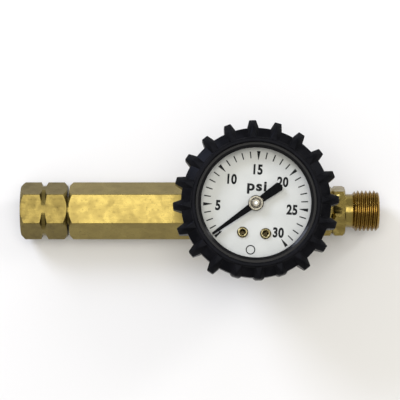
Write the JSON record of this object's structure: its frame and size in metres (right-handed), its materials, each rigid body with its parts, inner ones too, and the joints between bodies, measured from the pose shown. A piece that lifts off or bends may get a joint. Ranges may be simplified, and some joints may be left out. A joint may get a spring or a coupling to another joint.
{
  "type": "pressure gauge",
  "caption": "In-line fuel-gas test gauge: a small Bourdon gauge in a toothed rubber boot on a hex brass manifold with a swivel nut inlet and a threaded outlet.",
  "frame": {"origin": "on the manifold's rear hex flat, straight under the gauge's axis", "axes": "+X along the manifold from the swivel nut to the threaded outlet, +Z along the gauge's axis out of the dial, +Y towards the top of the dial"},
  "size_m": [0.1253, 0.0534, 0.049],
  "materials": {
    "hex_brass": "machined hex bar, lightly worn",
    "turned_brass": "turned, bright",
    "movement_brass": "stamped and turned, clean",
    "rivet_brass": "bright, rolled edge",
    "tube_bronze": "phosphor bronze, drawn and flattened",
    "steel": "bright steel",
    "nickel": "nickel plate",
    "black_enamel": "black stove enamel",
    "black_bezel": "gloss black",
    "clear_lens": "clear acrylic",
    "black_rubber": "matt moulded rubber",
    "white_dial": "white lacquer with black print"
  },
  "bodies": {
    "manifold": {"manifold_body": "hex_brass", "inlet_nipple": "turned_brass", "outlet_adapter": "turned_brass", "gauge_socket": "turned_brass", "gauge_case": "black_enamel", "bezel": "black_bezel", "lens": "clear_lens", "lens_gasket": "black_rubber", "rubber_boot": "black_rubber", "case_screw_left": "steel", "case_screw_right": "steel", "movement_back_plate": "movement_brass", "movement_front_plate": "movement_brass", "movement_pillar_left": "movement_brass", "movement_pillar_right": "movement_brass", "movement_pillar_top": "movement_brass", "movement_screw_left": "steel", "movement_screw_right": "steel", "plate_screw": "steel", "dial_post_left": "movement_brass", "dial_post_right": "movement_brass", "dial": "white_dial", "dial_rivet_left": "rivet_brass", "dial_rivet_right": "rivet_brass", "stop_pin": "black_enamel", "bourdon_tube": "tube_bronze", "hairspring": "tube_bronze", "hairspring_stud": "movement_brass"},
    "nut": {"swivel_nut": "hex_brass"},
    "needle": {"pointer": "black_enamel", "pointer_hub": "nickel", "pinion_arbor": "steel", "hairspring_collet": "movement_brass"},
    "sector": {"sector_gear": "movement_brass", "sector_arbor": "steel", "sector_link_pin": "steel"},
    "link": {"link": "movement_brass"},
    "tip": {"tube_tip": "movement_brass", "tip_link_pin": "steel"}
  },
  "joints": [
    {"name": "nut_swivel", "type": "hinge", "parent": "manifold", "child": "nut", "pos_m": [-0.0665, 0, 0.00873], "axis": [1, 0, 0], "continuous": true},
    {"name": "pointer_turn", "type": "hinge", "parent": "manifold", "child": "needle", "pos_m": [0, 0, 0.0441], "axis": [0, 0, -1], "range_deg": [0, 270], "stiffness_Nm_per_rad": 0.0002, "springref_deg": -5.73, "deforming": ["hairspring"]},
    {"name": "sector_turn", "type": "hinge", "parent": "manifold", "child": "sector", "pos_m": [0.00729, -0.00742, 0.0337], "axis": [0, 0, 1], "range_deg": [0, 22.5]},
    {"name": "link_turn", "type": "hinge", "parent": "sector", "child": "link", "pos_m": [0.01065, -0.00959, 0.0347], "axis": [0, 0, -1], "range_deg": [0, 22.5]},
    {"name": "tip_travel", "type": "slide", "parent": "manifold", "child": "tip", "axis": [0.3681, 0.9298, 0], "range_m": [0, 0.00156], "deforming": ["bourdon_tube"]}
  ],
  "couplings": [
    {"joint": "sector_turn", "follows": "pointer_turn", "ratio": 0.083333},
    {"joint": "link_turn", "follows": "pointer_turn", "ratio": 0.083333},
    {"joint": "tip_travel", "follows": "pointer_turn", "m_per_rad": 0.00033119}
  ]
}
